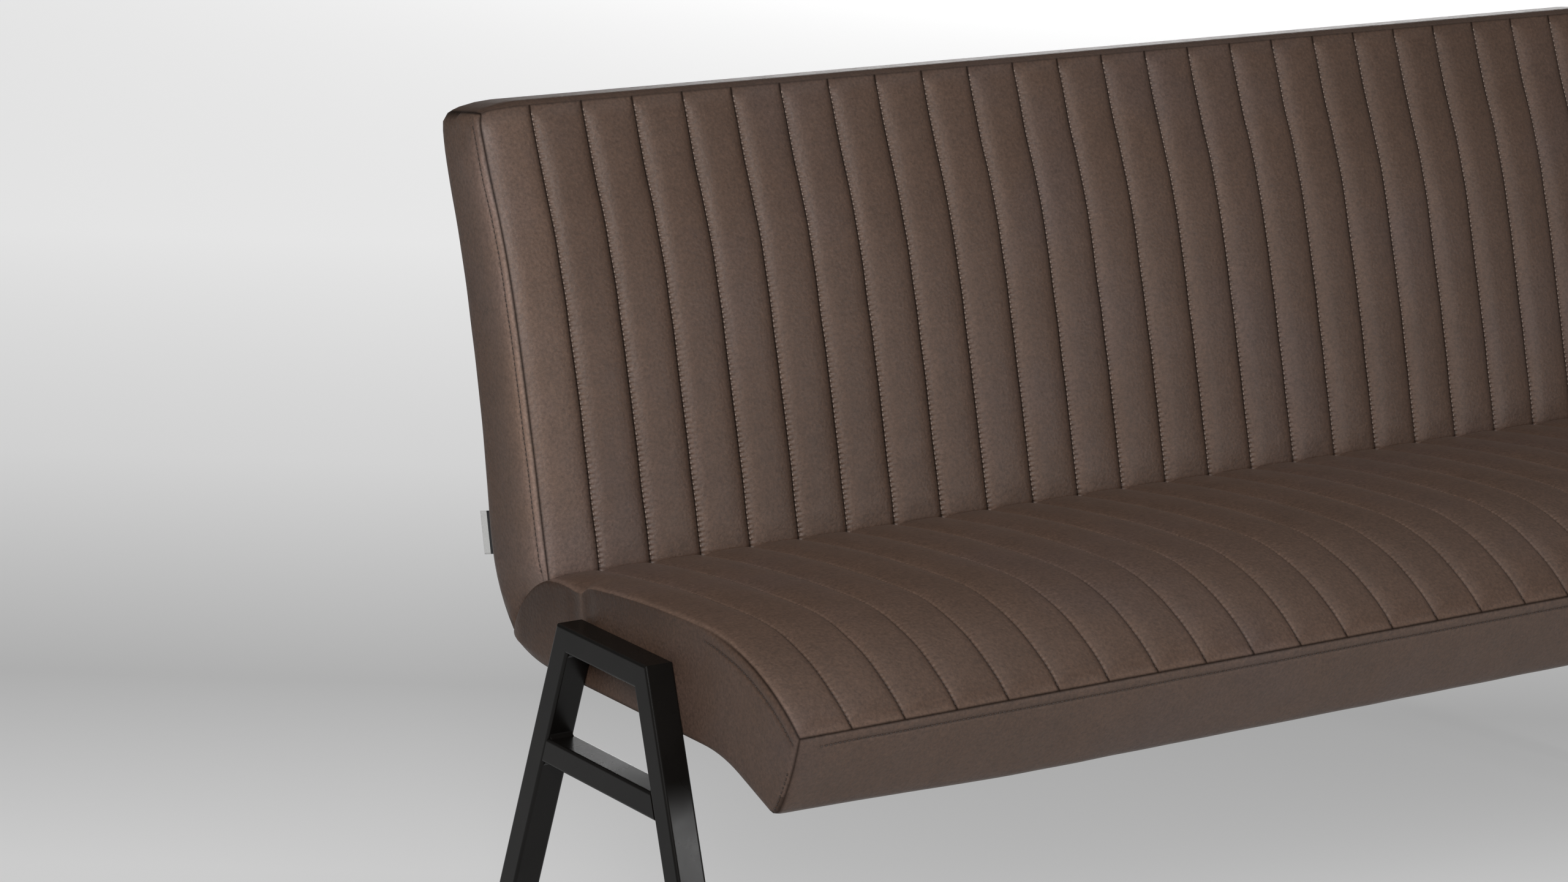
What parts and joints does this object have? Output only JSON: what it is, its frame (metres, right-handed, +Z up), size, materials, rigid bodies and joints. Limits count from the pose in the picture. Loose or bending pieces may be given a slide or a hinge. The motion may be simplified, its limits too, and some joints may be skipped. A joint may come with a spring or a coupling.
{
  "type": "dining bench",
  "caption": "Upholstered dining bench with a backrest, seat and back sewn in straight channels with boxed borders, on black A-shaped leg frames of rectangular steel tube.",
  "frame": {"origin": "on the floor, at the centre of the bench's box seen from above", "axes": "+X along the bench to its right end, -Y to the front where the sitter's legs are, +Z up"},
  "size_m": [1.55, 0.6221, 0.88],
  "materials": {
    "upholstery": "brown-taupe suede-like microfibre, soft nap, tone-on-tone stitching",
    "lining": "thin dark lining cloth",
    "foam": "open-cell upholstery foam",
    "webbing": "elastic webbing",
    "timber": "plain plywood and softwood",
    "powder_coat": "black satin powder coat",
    "foot_plug": "matt black plastic",
    "fastener": "zinc-plated steel",
    "tab": "blank woven tab, dark inner half and silver-grey outer half"
  },
  "bodies": {
    "root": {"back_bottom_beam": "timber", "back_foam": "foam", "back_quilt": "upholstery", "back_rear_cover": "upholstery", "back_top_beam": "timber", "back_top_border": "upholstery", "back_webbing": "webbing", "frame_bolts": "fastener", "left_back_border": "upholstery", "left_cross_rail": "powder_coat", "left_front_foot": "foot_plug", "left_front_leg": "powder_coat", "left_inner_back_post": "timber", "left_inner_seat_rib": "timber", "left_rear_foot": "foot_plug", "left_rear_leg": "powder_coat", "left_seat_border": "upholstery", "left_side_panel": "timber", "left_top_rail": "powder_coat", "left_weld_beads": "powder_coat", "rail_nuts": "fastener", "right_back_border": "upholstery", "right_cross_rail": "powder_coat", "right_front_foot": "foot_plug", "right_front_leg": "powder_coat", "right_inner_back_post": "timber", "right_inner_seat_rib": "timber", "right_rear_foot": "foot_plug", "right_rear_leg": "powder_coat", "right_seat_border": "upholstery", "right_side_panel": "timber", "right_top_rail": "powder_coat", "right_weld_beads": "powder_coat", "seat_dust_cover": "lining", "seat_foam": "foam", "seat_front_beam": "timber", "seat_front_border": "upholstery", "seat_quilt": "upholstery", "seat_rear_beam": "timber", "seat_rear_lining": "lining", "seat_webbing": "webbing", "side_tab": "tab"}
  },
  "joints": []
}
